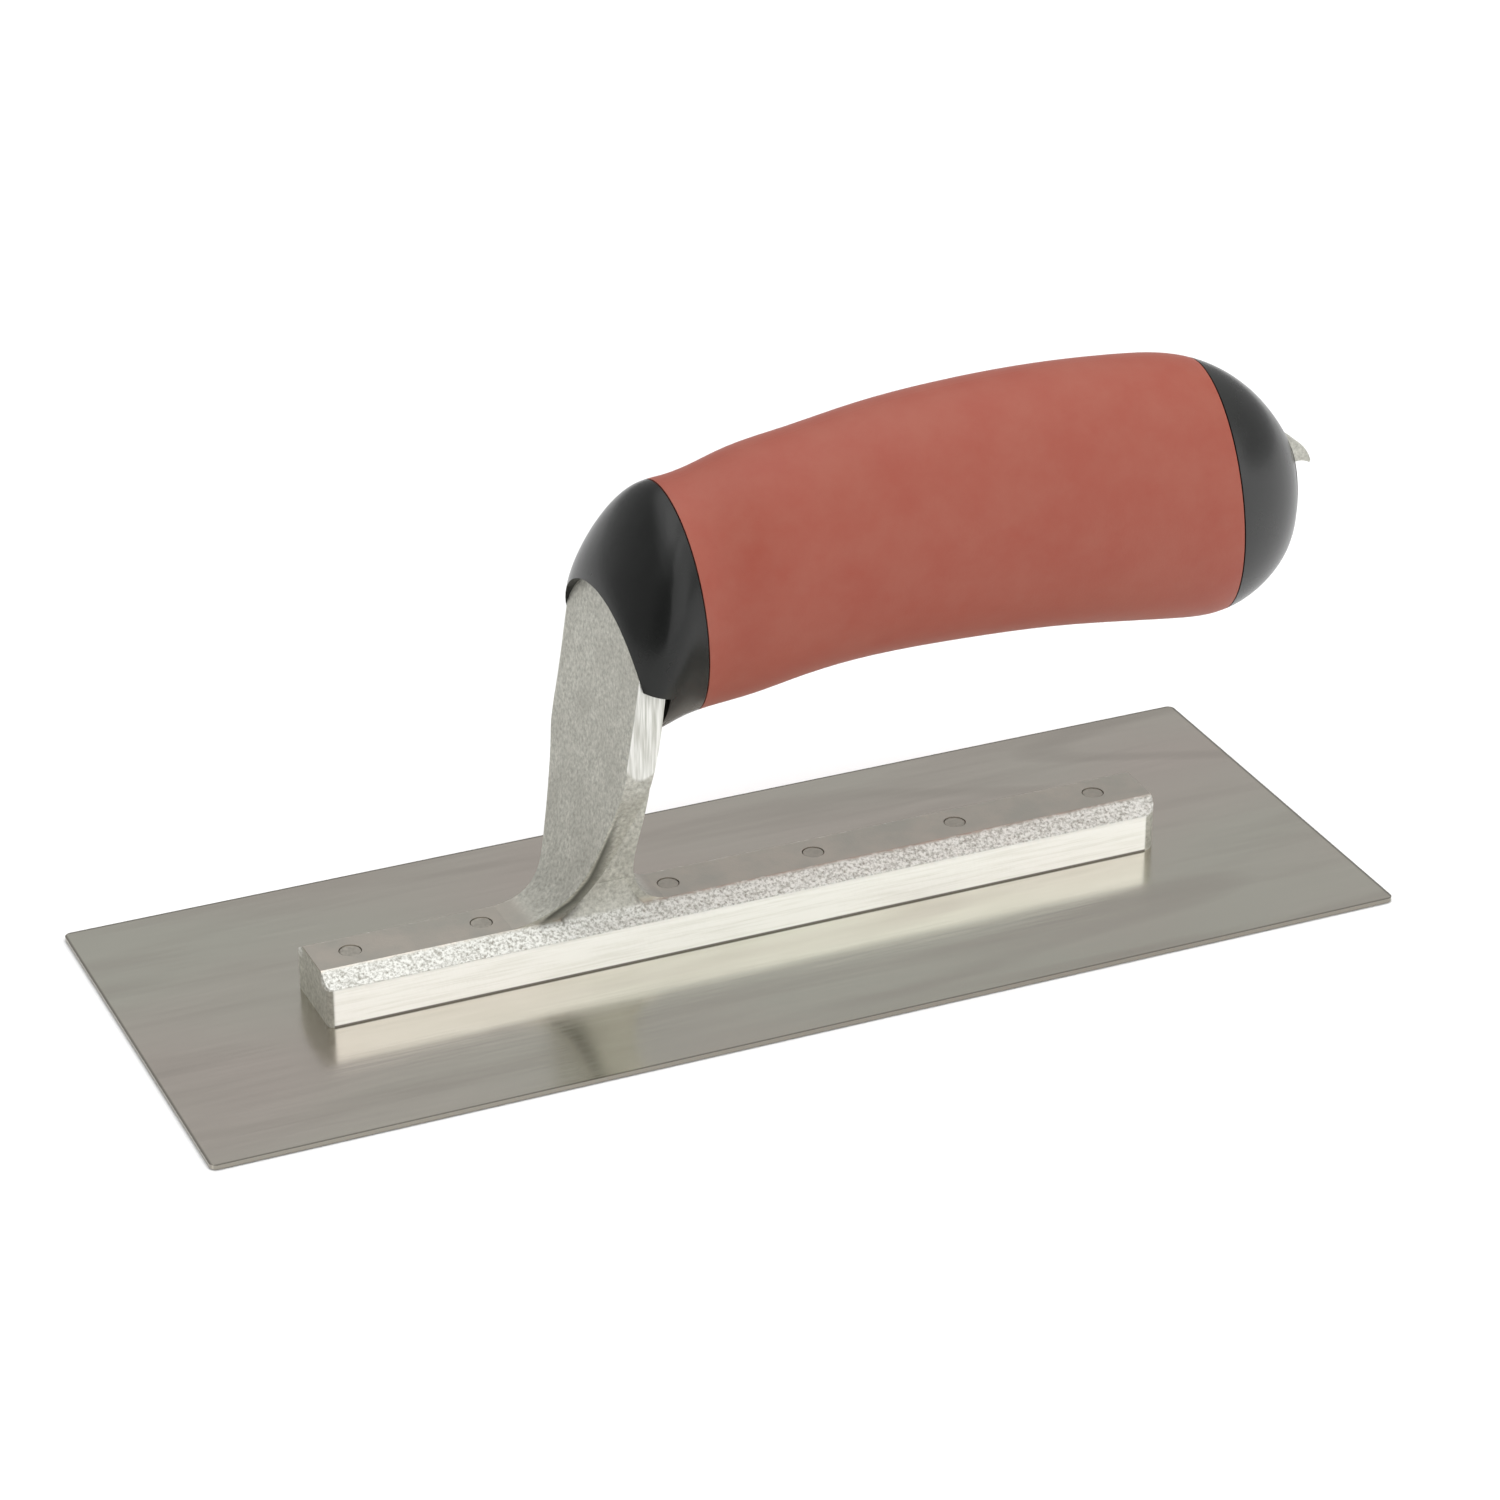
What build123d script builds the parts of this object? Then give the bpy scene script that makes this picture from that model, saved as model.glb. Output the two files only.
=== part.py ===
from build123d import *
from math import cos, radians, sin
import os

# A small finishing trowel: a flat steel blade riveted to an aluminium mounting,
# whose post carries a soft-grip handle on a tang.
# Millimetres. X runs along the blade, with the post's broad face towards -X and the
# handle's free end towards +X; Y runs across; Z is up.
# The origin is the middle of the blade's underside, which lies on z = 0.

# blade
blade_length = 203.2
blade_width = 76.2
blade_thickness = 0.7
blade_corner_radius = 1.2

# bar of the mounting
bar_front = -72.2
bar_rear = 74.2
bar_width = 15.0
bar_front_corner_radius = 1.2
bar_rear_corner_radius = 3.0
bar_shoulder_height = 7.4
bar_top_height = 9.4
bar_top_width = 8.4

# rivets: a pair ahead of the post and four behind it
front_rivets = (-65.8, -43.8)
rear_rivet_start = -11.6
rear_rivet_pitch = 25.7
rear_rivet_count = 4
rivet_radius = 1.8
rivet_head_radius = 2.4
rivet_sink = 0.1

# post
flange_half_width = 15.0
flange_top = 66.0
web_half_width = 4.2

# tang and its hook
tang_half_width = 3.5
tang_bottom = 52.0
tang_end = 90.6
hook_half_width = 2.0
hook_bottom = 64.2
hook_top = 69.4

# end fastening
screw_height = 57.4
screw_radius = 2.5
screw_length = 16.0
screw_head_radius = 4.0
screw_head_height = 2.6
screw_socket_radius = 1.7
plate_thickness = 1.2
recess_floor = 91.0
recess_half_width = 5.4
recess_half_height = 9.8
plug_bottom = 95.4
plug_stand = 1.0

# handle
skin = 4.5
fit = 0.05
joint_gap = 0.25
ring_lean = 6.5
front_ring = (-10.7, 59.8)
rear_ring = (83.9, 62.4)
spigot_length = 8.0
spigot_wall = 2.2
cap_face = 97.8
cap_centre = 58.6
hood_foot = 52.0
hood_half_width = 15.4
hood_rise = 12.2
hood_back = -20.5
hood_side_foot = 51.0
hood_side_back = -17.6

# handle sections: x, height of the centre, half width, half height
nose_sections = (
    (-24.0, 54.8, 10.6, 7.8),
    (-23.0, 54.9, 14.2, 11.3),
    (-21.0, 55.4, 16.5, 14.9),
    (-17.5, 57.8, 17.0, 18.2),
)
grip_sections = (
    (-14.0, 59.7, 15.7, 19.6),
    (-10.0, 60.5, 13.8, 19.8),
    (0.0, 62.4, 13.9, 20.6),
    (10.0, 64.1, 14.2, 20.6),
    (22.0, 65.6, 14.6, 21.0),
    (38.0, 66.2, 14.8, 21.8),
    (54.0, 65.8, 14.8, 22.4),
    (68.0, 64.5, 14.5, 22.9),
    (77.0, 63.2, 14.1, 22.9),
    (85.0, 61.4, 13.4, 21.5),
    (91.0, 60.1, 11.6, 18.3),
)
cap_sections = (
    (95.5, 59.1, 8.8, 14.1),
    (cap_face, cap_centre, 6.4, 11.0),
)

rivet_places = list(front_rivets)
rivet_places += [rear_rivet_start + rear_rivet_pitch * step for step in range(rear_rivet_count)]

os.makedirs("parts", exist_ok=True)


def cross_plane(x, z=0.0):
    """A plane square to X, with its own x along Y and its own y along Z."""
    return Plane(origin=(x, 0, z), x_dir=(0, 1, 0), z_dir=(1, 0, 0))


def ring_plane(place, shift=0.0):
    """The leaning plane where the grip meets the ferrule or the cap."""
    lean = radians(ring_lean)
    return Plane(origin=(place[0], 0, place[1]), x_dir=(0, 1, 0), z_dir=(cos(lean), 0, sin(lean))).offset(shift)


def oval_body(sections, inset=0.0):
    """A smooth body through upright oval sections, all drawn in by the inset."""
    with BuildPart() as body:
        for x, height, half_width, half_height in sections:
            with BuildSketch(cross_plane(x, height)):
                Ellipse(half_width - inset, half_height - inset)
        loft()
    return body.part


# ---------------------------------------------------------------- blade
with BuildPart() as blade:
    with BuildSketch():
        RectangleRounded(blade_length, blade_width, blade_corner_radius)
    extrude(amount=blade_thickness)
    # countersunk from below, so that the rivet heads finish flush with the underside
    with BuildSketch():
        with Locations([(x, 0) for x in rivet_places]):
            Circle(rivet_head_radius + fit)
    extrude(amount=blade_thickness, taper=40, mode=Mode.SUBTRACT)
blade.part.label = "blade"

# ---------------------------------------------------------------- mounting: the bar
with BuildPart() as bar:
    with BuildSketch(cross_plane(bar_front)):
        with BuildLine():
            Polyline(
                (-bar_width / 2, blade_thickness),
                (bar_width / 2, blade_thickness),
                (bar_width / 2, bar_shoulder_height),
                (bar_top_width / 2, bar_top_height),
                (-bar_top_width / 2, bar_top_height),
                (-bar_width / 2, bar_shoulder_height),
                close=True,
            )
        make_face()
    extrude(amount=bar_rear - bar_front)
    with BuildSketch():
        with Locations(((bar_front + bar_rear) / 2, 0)):
            Rectangle(bar_rear - bar_front, bar_width)
        fillet(vertices().group_by(Axis.X)[0], radius=bar_front_corner_radius)
        fillet(vertices().group_by(Axis.X)[-1], radius=bar_rear_corner_radius)
    extrude(amount=bar_top_height + 1, mode=Mode.INTERSECT)

# ---------------------------------------------------------------- mounting: the front flange of the post
with BuildPart() as flange:
    # side view: it sweeps up out of the bar's flat top and leans back slightly as it rises
    with BuildSketch(Plane.XZ):
        with BuildLine():
            front_line = Spline(
                (-42.0, 9.3),
                (-38.6, 9.6),
                (-35.4, 10.6),
                (-32.0, 13.3),
                (-29.7, 18.0),
                (-27.4, 26.0),
                (-24.8, 39.0),
                (-22.8, 52.0),
                (-20.9, flange_top),
            )
            back_line = Spline(
                (-16.3, flange_top),
                (-18.1, 52.0),
                (-20.0, 39.0),
                (-23.6, 27.0),
                (-26.6, 18.5),
                (-29.4, 12.2),
                (-32.4, 8.0),
            )
            Line(front_line @ 1, back_line @ 0)
            Polyline(back_line @ 1, (-42.0, 8.0), front_line @ 0)
        make_face()
    extrude(amount=20, both=True)
    # front view: narrow at the bar, swelling to its full width, round at the top
    with BuildSketch(cross_plane(-50)):
        with BuildLine():
            right_side = Spline(
                (bar_top_width / 2, 9.4),
                (5.1, 12.0),
                (7.9, 17.0),
                (10.9, 24.0),
                (13.7, 32.0),
                (flange_half_width, 39.5),
                tangents=((0.1, 1), (0, 1)),
            )
            right_edge = Line(right_side @ 1, (flange_half_width, 56.0))
            mirror(right_side, about=Plane.YZ)
            mirror(right_edge, about=Plane.YZ)
            ThreePointArc((flange_half_width, 56.0), (0, flange_top - 0.3), (-flange_half_width, 56.0))
            Polyline(
                (bar_top_width / 2, 9.4),
                (bar_top_width / 2, 7.5),
                (-bar_top_width / 2, 7.5),
                (-bar_top_width / 2, 9.4),
            )
        make_face()
    extrude(amount=50, mode=Mode.INTERSECT)

# ---------------------------------------------------------------- mounting: the web behind the flange
with BuildPart() as web:
    with BuildSketch(Plane.XZ):
        with BuildLine():
            web_back = Spline(
                (-11.5, 9.3),
                (-14.8, 9.6),
                (-17.8, 11.4),
                (-19.3, 14.8),
                (-18.7, 20.0),
                (-17.2, 25.6),
                (-15.9, 33.0),
                (-15.1, 44.0),
            )
            Polyline(
                web_back @ 1,
                (-14.6, 52.0),
                (-14.6, flange_top - 1),
                (-18.5, flange_top - 1),
                (-27.0, 20.0),
                (-33.0, 8.0),
                (-11.5, 8.0),
                web_back @ 0,
            )
        make_face()
    extrude(amount=web_half_width, both=True)

# ---------------------------------------------------------------- mounting: the gusset
# It widens upwards from the web to the flange's full width.
gusset_sections = (
    # height, front x, half width at the front, rear x
    (12.0, -28.9, 3.6, -23.0),
    (19.0, -27.0, 4.0, -22.0),
    (25.0, -24.8, 6.6, -19.4),
    (32.0, -22.8, 11.6, -18.0),
    (40.0, -21.2, 14.8, -17.2),
    (50.0, -19.8, 14.8, -16.9),
)
gusset_half_back = 3.2
with BuildPart() as gusset:
    for height, front, half_front, rear in gusset_sections:
        with BuildSketch(Plane.XY.offset(height)):
            Polygon(
                (front, -half_front),
                (rear, -gusset_half_back),
                (rear, gusset_half_back),
                (front, half_front),
                align=None,
            )
    loft()

# ---------------------------------------------------------------- mounting: the foot of the web
# It spreads over the sloping shoulders of the bar.
foot_sections = (
    # height, front x, rear x, half width
    (7.8, -33.5, -16.0, 6.4),
    (9.4, -32.0, -17.6, 5.5),
    (11.6, -30.2, -18.8, 4.7),
    (14.6, -28.6, -19.2, 4.3),
)
with BuildPart() as web_foot:
    for height, front, rear, half_width in foot_sections:
        with BuildSketch(Plane.XY.offset(height)):
            with Locations(((front + rear) / 2, 0)):
                RectangleRounded(rear - front, 2 * half_width, 2.0)
    loft()

# ---------------------------------------------------------------- mounting: the tang with its hook
with BuildPart() as tang:
    with BuildSketch(Plane.XZ):
        Polygon(
            (-18.0, tang_bottom),
            (tang_end, tang_bottom),
            (tang_end, hook_top),
            (40.0, hook_top),
            (-18.0, flange_top - 1.5),
            align=None,
        )
    extrude(amount=tang_half_width, both=True)
    with BuildSketch(Plane.XZ):
        with BuildLine():
            Polyline(
                (95.8, hook_top),
                (tang_end - 4, hook_top),
                (tang_end - 4, hook_bottom),
                (98.8, hook_bottom),
            )
            ThreePointArc((98.8, hook_bottom), (100.5, 64.5), (102.3, 63.9))
            Line((102.3, 63.9), (102.5, 64.3))
            ThreePointArc((102.5, 64.3), (100.1, 67.8), (95.8, hook_top))
        make_face()
    extrude(amount=hook_half_width, both=True)
    with BuildSketch(cross_plane(tang_end, screw_height)):
        Circle(screw_radius + fit)
    extrude(amount=-screw_length + 0.5, mode=Mode.SUBTRACT)

with BuildPart() as mounting:
    add(bar.part)
    add(flange.part)
    add(web.part)
    add(web_foot.part)
    add(gusset.part)
    add(tang.part)
    with BuildSketch():
        with Locations([(x, 0) for x in rivet_places]):
            Circle(rivet_radius + fit)
    extrude(amount=bar_top_height + 1, mode=Mode.SUBTRACT)
mounting.part.label = "mounting"

# ---------------------------------------------------------------- rivets
rivet_nodes = []
for number, place in enumerate(rivet_places, start=1):
    with BuildPart() as rivet:
        with BuildSketch(Plane((place, 0, 0))):
            Circle(rivet_head_radius)
        extrude(amount=blade_thickness, taper=40)
        with BuildSketch(Plane((place, 0, 0))):
            Circle(rivet_radius)
        extrude(amount=bar_top_height - rivet_sink)
        chamfer(rivet.faces().sort_by(Axis.Z)[-1].edges(), length=0.15)
    rivet.part.label = f"rivet_{number}"
    rivet_nodes.append(rivet.part)

# ---------------------------------------------------------------- shapes that the handle's pieces share
handle_shape = oval_body(nose_sections + grip_sections + cap_sections)

# the way through the handle for the tang
with BuildPart() as tang_slot:
    with BuildSketch(Plane.XZ):
        Polygon(
            (-18.0, tang_bottom - fit),
            (recess_floor, tang_bottom - fit),
            (recess_floor, hook_top + fit),
            (40.0, hook_top + fit),
            (-18.0, flange_top - 1.5 + fit),
            align=None,
        )
    extrude(amount=tang_half_width + fit, both=True)

# the way out of the cap for the hook
with BuildPart() as hook_notch:
    with BuildSketch(cross_plane(recess_floor, (hook_bottom + hook_top) / 2)):
        Rectangle(2 * hook_half_width + 0.3, hook_top - hook_bottom + 0.3)
    extrude(amount=cap_face + 5 - recess_floor)


def spigot(place, shift, inset):
    """An oval spigot standing on a leaning joint plane, on the grip's side of it."""
    near, far = sorted((0.0, shift))
    with BuildPart() as plug_in:
        add(oval_body(grip_sections, inset=inset))
        split(bisect_by=ring_plane(place, near), keep=Keep.TOP)
        split(bisect_by=ring_plane(place, far), keep=Keep.BOTTOM)
    return plug_in.part


# ---------------------------------------------------------------- grip sleeve
with BuildPart() as grip_sleeve:
    add(handle_shape)
    split(bisect_by=ring_plane(front_ring, joint_gap), keep=Keep.TOP)
    split(bisect_by=ring_plane(rear_ring, -joint_gap), keep=Keep.BOTTOM)
    add(oval_body(grip_sections, inset=skin), mode=Mode.SUBTRACT)
grip_sleeve.part.label = "grip_sleeve"

# ---------------------------------------------------------------- handle core
with BuildPart() as handle_core:
    add(oval_body(grip_sections, inset=skin + fit))
    split(bisect_by=ring_plane(front_ring, joint_gap), keep=Keep.TOP)
    split(bisect_by=ring_plane(rear_ring, -joint_gap), keep=Keep.BOTTOM)
    socket_depth = spigot_length + joint_gap
    add(spigot(front_ring, socket_depth, skin + spigot_wall - fit), mode=Mode.SUBTRACT)
    add(spigot(rear_ring, -socket_depth, skin + spigot_wall - fit), mode=Mode.SUBTRACT)
    add(tang_slot.part, mode=Mode.SUBTRACT)
handle_core.part.label = "handle_core"

# ---------------------------------------------------------------- front ferrule
with BuildPart() as front_ferrule:
    add(handle_shape)
    split(bisect_by=ring_plane(front_ring), keep=Keep.BOTTOM)
    # an arched hood is left over the top of the flange; below it the front is open
    with BuildSketch(cross_plane(-40)):
        with Locations((0, hood_foot)):
            Ellipse(hood_half_width, hood_rise)
        with Locations((0, hood_foot - 16)):
            Rectangle(2 * hood_half_width, 32)
    extrude(amount=40 + hood_back, mode=Mode.SUBTRACT)
    # the hood's sides end in a sloping edge across the edges of the flange
    with BuildSketch(Plane.XZ):
        Polygon(
            (-26.0, hood_side_foot + 3.3),
            (hood_side_back, hood_side_foot),
            (hood_side_back, 30.0),
            (-26.0, 30.0),
            align=None,
        )
    extrude(amount=20, both=True, mode=Mode.SUBTRACT)
    add(spigot(front_ring, spigot_length, skin + spigot_wall))
    add(tang_slot.part, mode=Mode.SUBTRACT)
    add(mounting.part, mode=Mode.SUBTRACT)
front_ferrule.part.label = "front_ferrule"

# ---------------------------------------------------------------- end cap
with BuildPart() as end_cap:
    add(handle_shape)
    split(bisect_by=ring_plane(rear_ring), keep=Keep.TOP)
    add(spigot(rear_ring, -spigot_length, skin + spigot_wall))
    with BuildSketch(cross_plane(recess_floor, cap_centre)):
        Ellipse(recess_half_width, recess_half_height)
    extrude(amount=cap_face + 1 - recess_floor, mode=Mode.SUBTRACT)
    add(tang_slot.part, mode=Mode.SUBTRACT)
    add(hook_notch.part, mode=Mode.SUBTRACT)
end_cap.part.label = "end_cap"

# ---------------------------------------------------------------- clamp plate
with BuildPart() as clamp_plate:
    with BuildSketch(cross_plane(recess_floor, cap_centre)):
        Ellipse(recess_half_width - 0.2, recess_half_height - 0.2)
        with Locations((0, screw_height - cap_centre)):
            Circle(screw_radius + 0.2, mode=Mode.SUBTRACT)
    extrude(amount=plate_thickness)
    add(hook_notch.part, mode=Mode.SUBTRACT)
clamp_plate.part.label = "clamp_plate"

# ---------------------------------------------------------------- end screw
screw_seat = recess_floor + plate_thickness
with BuildPart() as end_screw:
    with BuildSketch(cross_plane(screw_seat, screw_height)):
        Circle(screw_head_radius)
    extrude(amount=screw_head_height)
    fillet(end_screw.faces().sort_by(Axis.X)[-1].edges(), radius=0.6)
    with BuildSketch(cross_plane(screw_seat + screw_head_height, screw_height)):
        RegularPolygon(screw_socket_radius, 6)
    extrude(amount=-1.6, mode=Mode.SUBTRACT)
    with BuildSketch(cross_plane(screw_seat, screw_height)):
        Circle(screw_radius)
    extrude(amount=-screw_length)
    chamfer(end_screw.faces().sort_by(Axis.X)[0].edges(), length=0.6)
end_screw.part.label = "end_screw"

# ---------------------------------------------------------------- end plug
with BuildPart() as end_plug:
    with BuildSketch(cross_plane(plug_bottom, cap_centre)):
        Ellipse(recess_half_width - fit, recess_half_height - fit)
    extrude(amount=cap_face + plug_stand - plug_bottom)
    fillet(end_plug.faces().sort_by(Axis.X)[-1].edges(), radius=0.7)
    add(hook_notch.part, mode=Mode.SUBTRACT)
end_plug.part.label = "end_plug"

pieces = [blade.part, mounting.part, *rivet_nodes, front_ferrule.part, handle_core.part, grip_sleeve.part]
pieces += [end_cap.part, clamp_plate.part, end_screw.part, end_plug.part]
for piece in pieces:
    export_step(piece, f"parts/{piece.label}.step")
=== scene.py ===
import math

import bpy
from mathutils import Matrix, Vector


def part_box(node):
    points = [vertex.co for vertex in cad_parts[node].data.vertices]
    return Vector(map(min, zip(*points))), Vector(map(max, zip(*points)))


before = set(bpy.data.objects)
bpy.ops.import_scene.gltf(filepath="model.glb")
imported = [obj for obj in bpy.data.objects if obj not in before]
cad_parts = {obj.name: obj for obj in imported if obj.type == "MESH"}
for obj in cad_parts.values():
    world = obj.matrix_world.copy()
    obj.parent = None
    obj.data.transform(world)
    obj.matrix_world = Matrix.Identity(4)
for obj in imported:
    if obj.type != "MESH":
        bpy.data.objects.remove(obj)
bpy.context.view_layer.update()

# ---------------------------------------------------------------- camera
# A long lens standing off the blade's near side, a little towards its front end, and
# looking down across the bar, the post and the handle.
view_azimuth = math.radians(-24.093)
view_elevation = math.radians(27.398)
view_roll = math.radians(0.167)
camera_place = Vector((-0.26673, -0.60268, 0.37267))

back = Vector((
    math.sin(view_azimuth) * math.cos(view_elevation),
    -math.cos(view_azimuth) * math.cos(view_elevation),
    math.sin(view_elevation),
))
level_x = Vector((0, 0, 1)).cross(back).normalized()
level_y = back.cross(level_x)
camera_x = level_x * math.cos(view_roll) + level_y * math.sin(view_roll)
camera_y = level_y * math.cos(view_roll) - level_x * math.sin(view_roll)
camera_turn = Matrix((camera_x, camera_y, back)).transposed().to_4x4()
camera_data = bpy.data.cameras.new("camera")
camera_data.lens = 111.50
camera_data.sensor_width = 36.0
camera_data.clip_start = 0.01
camera_data.clip_end = 50.0
camera = bpy.data.objects.new("camera", camera_data)
camera.matrix_world = Matrix.Translation(camera_place) @ camera_turn
bpy.context.scene.collection.objects.link(camera)
bpy.context.scene.camera = camera

# ---------------------------------------------------------------- floor and light
# A plain white table top in a pale studio: bright overhead, dimmer at the walls and
# dimmest behind the onlooker, with one soft lamp overhead and a broad one in front.
bpy.context.scene.view_settings.view_transform = "Standard"
wall_light = 0.50
ceiling_light = 2.0
ceiling_starts = 0.62
ceiling_full = 0.88
dim_side = (-0.44, -0.88, 0.18)
dim_starts = 0.55
dim_full = 0.92
dim_share = 0.40


def ramp_node(tree, value, low, high, to_low, to_high):
    """A clamped straight ramp of the value from one range to another."""
    node = tree.nodes.new("ShaderNodeMapRange")
    tree.links.new(value, node.inputs["Value"])
    ends = {"From Min": low, "From Max": high, "To Min": to_low, "To Max": to_high}
    for socket_name, number in ends.items():
        node.inputs[socket_name].default_value = number
    return node.outputs["Result"]


world = bpy.data.worlds.new("studio")
world.use_nodes = True
bpy.context.scene.world = world
studio = world.node_tree
studio_light = studio.nodes["Background"]
direction = studio.nodes.new("ShaderNodeTexCoord").outputs["Generated"]
direction_axes = studio.nodes.new("ShaderNodeSeparateXYZ")
studio.links.new(direction, direction_axes.inputs[0])
rise = ramp_node(studio, direction_axes.outputs[2], ceiling_starts, ceiling_full, wall_light, ceiling_light)
facing = studio.nodes.new("ShaderNodeVectorMath")
facing.operation = "DOT_PRODUCT"
facing.inputs[1].default_value = dim_side
studio.links.new(direction, facing.inputs[0])
dimming = ramp_node(studio, facing.outputs["Value"], dim_starts, dim_full, 1.0, dim_share)
strength = studio.nodes.new("ShaderNodeMath")
strength.operation = "MULTIPLY"
studio.links.new(rise, strength.inputs[0])
studio.links.new(dimming, strength.inputs[1])
studio.links.new(strength.outputs[0], studio_light.inputs["Strength"])
studio_light.inputs["Color"].default_value = (1.0, 1.0, 1.0, 1.0)

floor_half = 3.0
floor_drop = 0.0002
floor_corners = ((-1, -1), (1, -1), (1, 1), (-1, 1))
floor_mesh = bpy.data.meshes.new("floor")
floor_mesh.from_pydata(
    [(x * floor_half, y * floor_half, -floor_drop) for x, y in floor_corners],
    [],
    [(0, 1, 2, 3)],
)
floor = bpy.data.objects.new("floor", floor_mesh)
bpy.context.scene.collection.objects.link(floor)
floor_paint = bpy.data.materials.new("table_white")
floor_paint.use_nodes = True
floor_shader = floor_paint.node_tree.nodes["Principled BSDF"]
floor_shader.inputs["Base Color"].default_value = (0.93, 0.93, 0.93, 1)
floor_shader.inputs["Roughness"].default_value = 0.9
floor_shader.inputs["Specular IOR Level"].default_value = 0.0
floor_mesh.materials.append(floor_paint)

lamp_target = Vector((0, 0, 0.03))


def add_lamp(name, place, size, power):
    """A soft square lamp that points just above the middle of the blade."""
    data = bpy.data.lights.new(name, "AREA")
    data.shape = "SQUARE"
    data.size = size
    data.energy = power
    lamp = bpy.data.objects.new(name, data)
    lamp.location = place
    lamp.rotation_euler = (lamp_target - Vector(place)).to_track_quat("-Z", "Y").to_euler()
    bpy.context.scene.collection.objects.link(lamp)


add_lamp("overhead", (-0.1, -0.2, 1.2), size=0.7, power=1.0)
add_lamp("front", (0.48, -0.94, 0.58), size=1.25, power=6.2)


# ---------------------------------------------------------------- blade
# One flat rectangle of spring steel, ground along its length to a satin finish and
# faintly stained. Its sheared rim is left dark.
class Finish:
    """A procedural material built from noise on the object's own coordinates."""

    def __init__(self, name):
        self.material = bpy.data.materials.new(name)
        self.material.use_nodes = True
        self.tree = self.material.node_tree
        self.shader = self.tree.nodes["Principled BSDF"]
        self.place = self.add("ShaderNodeTexCoord").outputs["Object"]

    def add(self, kind, **values):
        node = self.tree.nodes.new(kind)
        for key, value in values.items():
            setattr(node, key, value)
        return node

    def feed(self, socket, value):
        """Links a socket to another, or sets its own number or colour."""
        if isinstance(value, bpy.types.NodeSocket):
            self.tree.links.new(value, socket)
        elif isinstance(value, tuple):
            socket.default_value = (*value, 1.0)
        else:
            socket.default_value = value

    def axes(self):
        """The place along, across and above the blade."""
        node = self.add("ShaderNodeSeparateXYZ")
        self.feed(node.inputs[0], self.place)
        return node.outputs

    def math(self, operation, *values):
        node = self.add("ShaderNodeMath", operation=operation)
        for socket, value in zip(node.inputs, values):
            self.feed(socket, value)
        return node.outputs[0]

    def noise(self, scale, detail=3.0, roughness=0.55, stretch=(1, 1, 1), shift=(0, 0, 0)):
        """Noise with the given cells per metre; stretch lengthens the cells along an axis."""
        mapping = self.add("ShaderNodeMapping")
        self.feed(mapping.inputs["Vector"], self.place)
        mapping.inputs["Location"].default_value = shift
        mapping.inputs["Scale"].default_value = tuple(scale / part for part in stretch)
        node = self.add("ShaderNodeTexNoise")
        self.feed(node.inputs["Vector"], mapping.outputs[0])
        node.inputs["Scale"].default_value = 1.0
        node.inputs["Detail"].default_value = detail
        node.inputs["Roughness"].default_value = roughness
        return node.outputs["Fac"]

    def ramp(self, value, low, high, to_low=0.0, to_high=1.0):
        return ramp_node(self.tree, value, low, high, to_low, to_high)

    def above(self, value, edge, fade):
        """One where the value is past the edge, softened by the fade on each side of it."""
        return self.ramp(value, edge - fade, edge + fade)

    def below(self, value, edge, fade):
        """One where the value is short of the edge, softened in the same way."""
        return self.ramp(value, edge + fade, edge - fade)

    def both(self, *masks):
        """The area that all the masks share."""
        shared = masks[0]
        for mask in masks[1:]:
            shared = self.math("MULTIPLY", shared, mask)
        return shared

    def mix(self, share, first, second):
        """A colour between two others."""
        node = self.add("ShaderNodeMix", data_type="RGBA")
        self.feed(node.inputs["Factor"], share)
        self.feed(node.inputs[6], first)
        self.feed(node.inputs[7], second)
        return node.outputs[2]

    def bump(self, height, distance, strength=0.5, under=None):
        """Relief of the given depth in metres, on top of another relief if one is given."""
        node = self.add("ShaderNodeBump")
        self.feed(node.inputs["Height"], height)
        node.inputs["Distance"].default_value = distance
        node.inputs["Strength"].default_value = strength
        if under is not None:
            self.feed(node.inputs["Normal"], under)
        return node.outputs["Normal"]

    def set(self, **sockets):
        for name, value in sockets.items():
            self.feed(self.shader.inputs[name.replace("_", " ")], value)


def coat(node_name, finish):
    """Gives a CAD node its finish."""
    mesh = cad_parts[node_name].data
    if not mesh.materials:
        mesh.materials.append(finish.material)
    for index in range(len(mesh.materials)):
        mesh.materials[index] = finish.material


steel_warm = (0.635, 0.575, 0.515)
steel_cool = (0.62, 0.61, 0.53)
# the stain colour is used for real stains and also for the painted dark reflections of the ripples
steel_stain_and_reflection = (0.47, 0.43, 0.38)
sheared_steel = (0.30, 0.28, 0.24)
blade_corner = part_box("blade")[1]
rim_width = 0.0005
rim_solid = 0.0002

steel = Finish("blade_satin")
blade_along, blade_across, _ = steel.axes()
clouds = steel.noise(16, stretch=(2.0, 1, 1), detail=2)
grain = steel.noise(2600, stretch=(50, 1, 1), detail=2, roughness=0.7)
streaks = steel.noise(120, stretch=(9, 1, 1), detail=3, shift=(3, 1, 0))
steel_colour = steel.mix(steel.ramp(clouds, 0.38, 0.62), steel_warm, steel_cool)
steel_colour = steel.mix(steel.ramp(streaks, 0.50, 0.75, 0.0, 0.5), steel_colour, steel_stain_and_reflection)
# painted reflection: dark wavy bands painted into the colour for the reflections in the waves left by the
# rolling mill, stronger towards the rear
ripple_reflection_warp = steel.noise(26, stretch=(4.5, 1, 1), detail=1, shift=(0, 5, 0))
ripple_reflection_bands = steel.math("SINE", steel.math("MULTIPLY", ripple_reflection_warp, 34.0))
ripple_reflection_depth = steel.ramp(blade_along, -0.02, 0.07, 0.06, 0.38)
painted_ripple_reflection = steel.math("MULTIPLY", steel.ramp(ripple_reflection_bands, 0.55, 1.0), ripple_reflection_depth)
steel_colour = steel.mix(painted_ripple_reflection, steel_colour, steel_stain_and_reflection)
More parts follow.
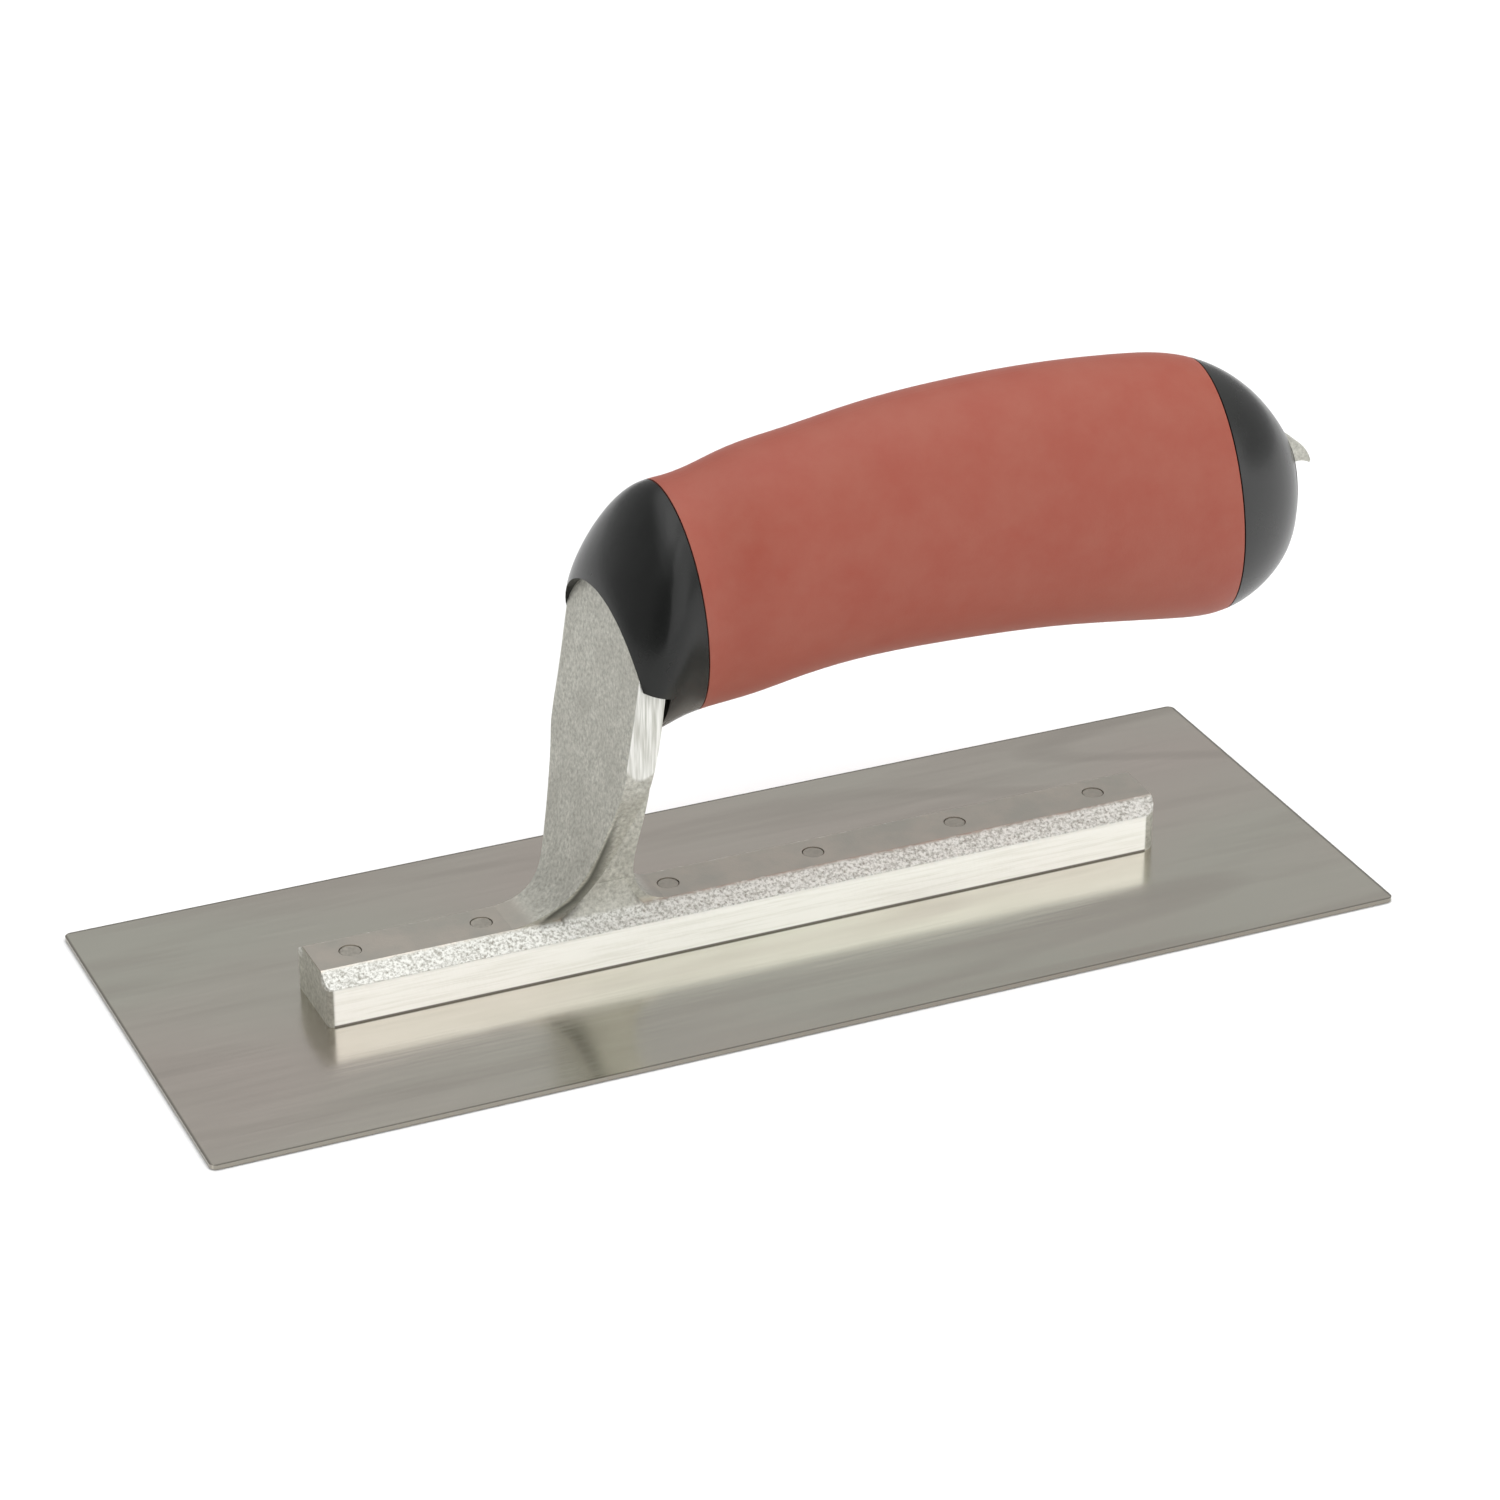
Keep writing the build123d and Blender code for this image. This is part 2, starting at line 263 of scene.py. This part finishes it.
# the sheared rim is darker than the ground faces
rim_masks = []
for place, reach in ((blade_along, blade_corner.x), (blade_across, blade_corner.y)):
    off_middle = steel.math("ABSOLUTE", place)
    rim_masks.append(steel.ramp(off_middle, reach - rim_width, reach - rim_solid))
steel_colour = steel.mix(steel.math("MAXIMUM", *rim_masks), steel_colour, sheared_steel)
steel.set(
    Base_Color=steel_colour,
    Metallic=1.0,
    Roughness=steel.ramp(grain, 0.3, 0.7, 0.13, 0.24),
    Normal=steel.bump(grain, 0.000006),
)
coat("blade", steel)

# ---------------------------------------------------------------- mounting
# One aluminium casting: bar, post, tang and hook. Its skin is left as cast, fine and
# matte; the bar's sides and the edges of the post's flange are ground bright, and the
# blade is riveted under the bar.
cast_pit = (0.38, 0.375, 0.335)
cast_pale = (0.64, 0.635, 0.575)
cast_stain = (0.36, 0.35, 0.31)
ground_dull = (0.86, 0.86, 0.81)
ground_bright = (0.99, 0.99, 0.96)
bar_foot_dark = (0.16, 0.15, 0.13)
strip_dull = (0.46, 0.46, 0.41)
strip_bright = (0.78, 0.78, 0.74)
shoulder_pit = (0.30, 0.29, 0.25)
# painted glints for the glitter of the shoulders' rough skin
shoulder_painted_glint = (0.76, 0.76, 0.72)
top_warm = (0.52, 0.475, 0.415)
top_grey = (0.45, 0.43, 0.38)
# painted shade for the crease behind the flange's front edge
painted_crease_shade = (0.15, 0.15, 0.13)
bar_ground_off = 0.00745
bar_ground_top = 0.0073
bar_foot_dark_top = 0.0010
flange_edge_off = 0.014775
strip_foot = 0.0375
strip_lean = 0.17
strip_start = -0.0286
strip_sagging = 250.0
flat_half = 0.0045
shoulder_foot = 0.00715
shoulder_top = 0.00975
flat_foot = 0.0091
post_foot = 0.01015
ragged_depth = 0.0012

cast = Finish("cast_aluminium")
along, across, height = cast.axes()
half_across = cast.math("ABSOLUTE", across)
speckle = cast.noise(1500, detail=3, roughness=0.65)
patches = cast.noise(160, detail=3)
colour = cast.mix(cast.ramp(speckle, 0.32, 0.68), cast_pit, cast_pale)
colour = cast.mix(cast.ramp(patches, 0.4, 0.7, 0.0, 0.4), colour, cast_stain)
# smooth flat top of the bar, between shoulders with a ragged edge
ragged = cast.math("MULTIPLY_ADD", cast.noise(900, detail=3), ragged_depth, -ragged_depth / 2)
ragged_height = cast.math("ADD", height, ragged)
ragged_across = cast.math("ADD", half_across, ragged)
flat_top = cast.both(
    cast.below(ragged_across, flat_half, 0.0003),
    cast.below(height, post_foot, 0.00035),
    cast.above(height, flat_foot, 0.0002),
)
colour = cast.mix(flat_top, colour, cast.mix(cast.ramp(patches, 0.35, 0.65), top_warm, top_grey))
# rough skin on the bar's sloping shoulders, its glitter painted into the colour as bright glints
shoulder = cast.both(
    cast.above(ragged_across, flat_half, 0.0003),
    cast.above(ragged_height, shoulder_foot, 0.00015),
    cast.below(height, shoulder_top, 0.00025),
)
shoulder_grain_and_glint = cast.noise(1900, detail=3, roughness=0.7)
colour = cast.mix(shoulder, colour, cast.mix(cast.ramp(shoulder_grain_and_glint, 0.34, 0.58), shoulder_pit, shoulder_painted_glint))
# ground sides of the bar, darker in a thin band along their foot where they meet the blade
ground_side = cast.both(
    cast.above(half_across, bar_ground_off, 0.00003),
    cast.below(height, bar_ground_top, 0.0001),
)
scratches = cast.noise(1600, stretch=(30, 1, 1), detail=3, roughness=0.7)
ground_colour = cast.mix(cast.ramp(scratches, 0.30, 0.55), ground_dull, ground_bright)
ground_colour = cast.mix(cast.below(height, bar_foot_dark_top, 0.00008), ground_colour, bar_foot_dark)
colour = cast.mix(ground_side, colour, ground_colour)
# ground strips up the flange's edges, run out round at their lower ends
strip_middle = cast.math("MULTIPLY_ADD", height, strip_lean, strip_start)
strip_off = cast.math("SUBTRACT", along, strip_middle)
strip_sag = cast.math("MULTIPLY", cast.math("MULTIPLY", strip_off, strip_off), strip_sagging)
strip = cast.both(
    cast.above(half_across, flange_edge_off, 0.000075),
    cast.above(cast.math("SUBTRACT", height, strip_sag), strip_foot, 0.0003),
)
strip_lines = cast.noise(1800, stretch=(1, 1, 18), detail=2, roughness=0.7)
colour = cast.mix(strip, colour, cast.mix(cast.ramp(strip_lines, 0.35, 0.6), strip_dull, strip_bright))
# painted shade: a dark band painted on the web just behind the flange's front edge, where shade falls
# in the crease, wider towards the foot; the edge is three straight lines, each with its lean and its place
# at the blade's underside
front_lines = [
    cast.math("MULTIPLY_ADD", height, lean, start)
    for lean, start in ((1.167, -0.04722), (0.479, -0.03807), (0.267, -0.03425))
]
front_edge = cast.math("MINIMUM", front_lines[0], cast.math("MINIMUM", front_lines[1], front_lines[2]))
crease_shade_width = cast.ramp(height, 0.010, 0.030, 0.0050, 0.0014)
crease_shade_place = cast.math("DIVIDE", cast.math("SUBTRACT", along, front_edge), crease_shade_width)
crease_shade_mask = cast.both(
    cast.above(crease_shade_place, 0.14, 0.08),
    cast.below(crease_shade_place, 0.65, 0.35),
    cast.below(height, 0.029, 0.004),
    cast.above(height, 0.0094, 0.0008),
)
colour = cast.mix(crease_shade_mask, colour, painted_crease_shade)
bright = cast.math("MAXIMUM", ground_side, strip)
metal = cast.math("MULTIPLY_ADD", bright, -0.45, 0.85)
dullness = cast.math("MULTIPLY_ADD", bright, -0.26, 0.62)
cast.set(
    Base_Color=colour,
    Metallic=cast.math("MULTIPLY_ADD", shoulder, -0.65, metal),
    Roughness=cast.math("MULTIPLY_ADD", flat_top, -0.32, dullness),
    Normal=cast.bump(cast.both(shoulder_grain_and_glint, shoulder), 0.00015, 0.6, under=cast.bump(speckle, 0.00008)),
)
coat("mounting", cast)

# ---------------------------------------------------------------- rivets
# Six plain steel rivets hold the blade to the bar. Their heads are countersunk flush
# under the blade and their worked ends sit a little below the bar's flat top.
rivet_pit = (0.34, 0.32, 0.28)
rivet_face = (0.42, 0.395, 0.35)
rivet = Finish("rivet_steel")
pitting = rivet.noise(1800, detail=2)
rivet.set(
    Base_Color=rivet.mix(rivet.ramp(pitting, 0.35, 0.65), rivet_pit, rivet_face),
    Metallic=1.0,
    Roughness=rivet.ramp(pitting, 0.3, 0.7, 0.4, 0.6),
    Normal=rivet.bump(pitting, 0.00005, 0.6),
)
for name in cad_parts:
    if name.startswith("rivet_"):
        coat(name, rivet)

# ---------------------------------------------------------------- ferrule, end cap and plug
# The nose over the top of the post, the rear cap and the thin plug in the cap's end.
# All are black moulded plastic: nose and cap have a satin skin that scuffs to grey, and
# the plug is matte.
plastic_black = (0.007, 0.0075, 0.007)
plastic_scuffed = (0.011, 0.012, 0.011)
plug_black = (0.010, 0.010, 0.010)
plug_grey = (0.022, 0.022, 0.022)
# painted light: nose and cap are one plastic, but the cap's copy reflects about twice as strongly, standing
# in for the brighter light on its side
for node_name, shine_for_lighting in (("front_ferrule", 0.30), ("end_cap", 0.62)):
    plastic = Finish(f"satin_black_{node_name}")
    scuffs = plastic.noise(70, detail=4, roughness=0.6)
    moulding = plastic.noise(3500, detail=1)
    plastic.set(
        Base_Color=plastic.mix(plastic.ramp(scuffs, 0.4, 0.7), plastic_black, plastic_scuffed),
        Roughness=plastic.ramp(scuffs, 0.3, 0.7, 0.22, 0.30),
        Normal=plastic.bump(moulding, 0.00001, 0.4),
        Specular_IOR_Level=shine_for_lighting,
    )
    coat(node_name, plastic)
plug_plastic = Finish("matte_black_plug")
plug_skin = plug_plastic.noise(2500, detail=2)
plug_plastic.set(
    Base_Color=plug_plastic.mix(plug_skin, plug_black, plug_grey),
    Roughness=plug_plastic.ramp(plug_skin, 0.3, 0.7, 0.5, 0.65),
    Normal=plug_plastic.bump(plug_skin, 0.00003),
)
coat("end_plug", plug_plastic)

# ---------------------------------------------------------------- grip
# A sleeve of soft brick-red rubber, moulded over the core between nose and cap. It is
# dull, slightly mottled and finely pored.
brick_deep = (0.305, 0.064, 0.038)
brick_pale = (0.320, 0.083, 0.053)
rubber = Finish("brick_red_rubber")
mottle = rubber.noise(120, detail=4, roughness=0.6)
pores = rubber.noise(2200, detail=2)
rubber.set(
    Base_Color=rubber.mix(rubber.ramp(mottle, 0.35, 0.65), brick_deep, brick_pale),
    Roughness=rubber.ramp(mottle, 0.3, 0.7, 0.46, 0.56),
    Normal=rubber.bump(pores, 0.00003),
    Sheen_Weight=0.05,
    Sheen_Roughness=0.5,
    Specular_IOR_Level=0.35,
)
coat("grip_sleeve", rubber)

# ---------------------------------------------------------------- handle's hidden pieces
# Inside the handle: a stiff black plastic core on the tang, and the zinc-plated steel
# plate and screw that pull cap, core and nose up against the post.
core_black = (0.03, 0.03, 0.03)
core_grey = (0.05, 0.05, 0.05)
zinc_dull = (0.48, 0.48, 0.46)
zinc_bright = (0.62, 0.62, 0.60)
core = Finish("core_plastic")
core_skin = core.noise(900, detail=2)
core.set(
    Base_Color=core.mix(core_skin, core_black, core_grey),
    Roughness=core.ramp(core_skin, 0.3, 0.7, 0.55, 0.7),
)
coat("handle_core", core)
plating = Finish("zinc_plating")
plating_clouds = plating.noise(700, detail=3)
plating.set(
    Base_Color=plating.mix(plating_clouds, zinc_dull, zinc_bright),
    Metallic=1.0,
    Roughness=plating.ramp(plating_clouds, 0.3, 0.7, 0.3, 0.45),
)
coat("clamp_plate", plating)
coat("end_screw", plating)
